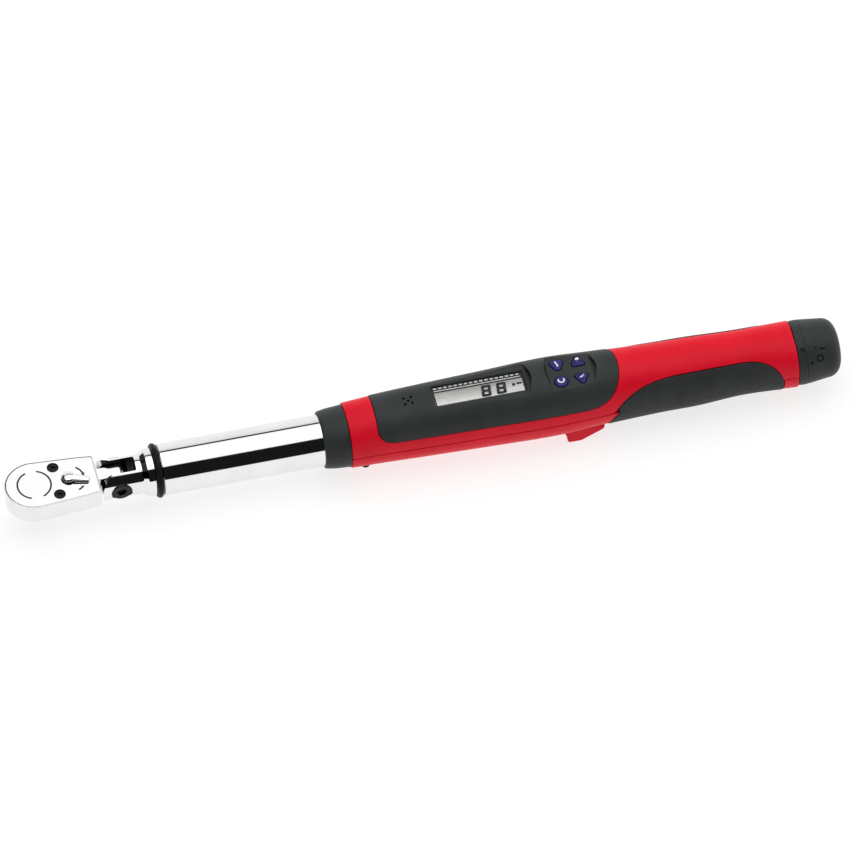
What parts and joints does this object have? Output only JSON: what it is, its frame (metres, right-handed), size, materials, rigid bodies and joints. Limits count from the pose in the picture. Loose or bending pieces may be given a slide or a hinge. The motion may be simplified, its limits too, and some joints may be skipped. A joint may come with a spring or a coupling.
{
  "type": "digital torque wrench",
  "caption": "Electronic flex-head torque wrench: square-drive ratchet, hinged head, chrome tube, display with buttons, contoured grip and battery cap.",
  "frame": {"origin": "centre of the square drive's end face", "axes": "+X runs from the head towards the battery cap, +Z points away from the drive, out of the display and the reverse lever, -Y is the side with the pivot screw's head"},
  "size_m": [0.4415, 0.0378, 0.0462],
  "materials": {
    "chrome": "bright polished chrome plate",
    "steel": "ground hardened steel",
    "black_steel": "black oxide",
    "bronze": "bronze and copper foil",
    "red_housing": "moulded red plastic, semi-gloss",
    "dark_plastic": "moulded charcoal plastic, fine matt texture",
    "rubber": "matt black elastomer",
    "lens": "clear window",
    "display": "reflective grey liquid crystal display",
    "circuit": "solder mask",
    "button": "soft-touch violet blue",
    "battery": "plain sleeve",
    "white_plastic": "white moulded insulator"
  },
  "bodies": {
    "handle": {"yoke_beam": "chrome", "pivot_screw": "black_steel", "pivot_nut": "black_steel", "friction_washer_1": "black_steel", "friction_washer_2": "black_steel", "beam_pin": "steel", "strain_gauge_1": "bronze", "strain_gauge_2": "bronze", "gauge_cable": "rubber", "outer_tube": "chrome", "tube_ring": "rubber", "front_collar": "dark_plastic", "upper_shell": "red_housing", "lower_shell": "red_housing", "display_panel": "dark_plastic", "rubber_grip": "rubber", "housing_screw_1": "black_steel", "housing_screw_2": "black_steel", "housing_screw_3": "black_steel", "housing_screw_4": "black_steel", "display_lens": "lens", "display_module": "display", "main_board": "circuit", "keypad_mat": "rubber", "buzzer": "dark_plastic", "handle_tube": "steel", "contact_plate": "white_plastic", "front_contact": "steel", "battery_1": "battery", "battery_2": "battery", "battery_3": "battery"},
    "head": {"head_body": "chrome", "cover_plate": "chrome", "cover_screw_1": "black_steel", "cover_screw_2": "black_steel", "drive_bush": "bronze", "lever_seal": "rubber", "detent_ball": "steel", "detent_spring": "steel"},
    "drive": {"drive_gear": "steel", "ball_spring": "steel"},
    "drive_ball": {"retention_ball": "steel"},
    "lever": {"reverse_lever": "chrome"},
    "pawl": {"pawl": "steel"},
    "button_down": {"button_down": "button"},
    "button_up": {"button_up": "button"},
    "button_units": {"button_units": "button"},
    "button_power": {"button_power": "button"},
    "cap_carrier": {"contact_carrier": "white_plastic", "cap_spring": "steel"},
    "battery_cap": {"battery_cap": "dark_plastic", "cap_seal": "rubber"}
  },
  "joints": [
    {"name": "head_flex", "type": "hinge", "parent": "handle", "child": "head", "pos_m": [0.044, 0, 0.0175], "axis": [0, 1, 0], "range_deg": [-15, 15]},
    {"name": "drive_spin", "type": "hinge", "parent": "head", "child": "drive", "pos_m": [0, 0, 0], "axis": [0, 0, 1], "continuous": true},
    {"name": "ball_press", "type": "slide", "parent": "drive", "child": "drive_ball", "axis": [-1, 0, 0], "range_m": [0, 0.0007], "stiffness_N_per_m": 2000},
    {"name": "reverse_lever", "type": "hinge", "parent": "head", "child": "lever", "pos_m": [0.0181, 0, 0.0175], "axis": [0, 0, 1], "range_deg": [0, 40]},
    {"name": "pawl_rock", "type": "hinge", "parent": "head", "child": "pawl", "pos_m": [0.0181, 0, 0.0175], "axis": [0, 0, 1], "range_deg": [0, 2]},
    {"name": "press_down", "type": "slide", "parent": "handle", "child": "button_down", "axis": [0, 0, -1], "range_m": [0, 0.0006], "stiffness_N_per_m": 1500},
    {"name": "press_up", "type": "slide", "parent": "handle", "child": "button_up", "axis": [0, 0, -1], "range_m": [0, 0.0006], "stiffness_N_per_m": 1500},
    {"name": "press_units", "type": "slide", "parent": "handle", "child": "button_units", "axis": [0, 0, -1], "range_m": [0, 0.0006], "stiffness_N_per_m": 1500},
    {"name": "press_power", "type": "slide", "parent": "handle", "child": "button_power", "axis": [0, 0, -1], "range_m": [0, 0.0006], "stiffness_N_per_m": 1500},
    {"name": "cap_pull", "type": "slide", "parent": "handle", "child": "cap_carrier", "axis": [1, 0, 0], "range_m": [0, 0.04]},
    {"name": "cap_turn", "type": "hinge", "parent": "cap_carrier", "child": "battery_cap", "pos_m": [0.4018, 0, 0.0175], "axis": [1, 0, 0], "range_deg": [0, 90]}
  ],
  "couplings": [
    {"joint": "pawl_rock", "follows": "reverse_lever", "ratio": 0.05}
  ]
}
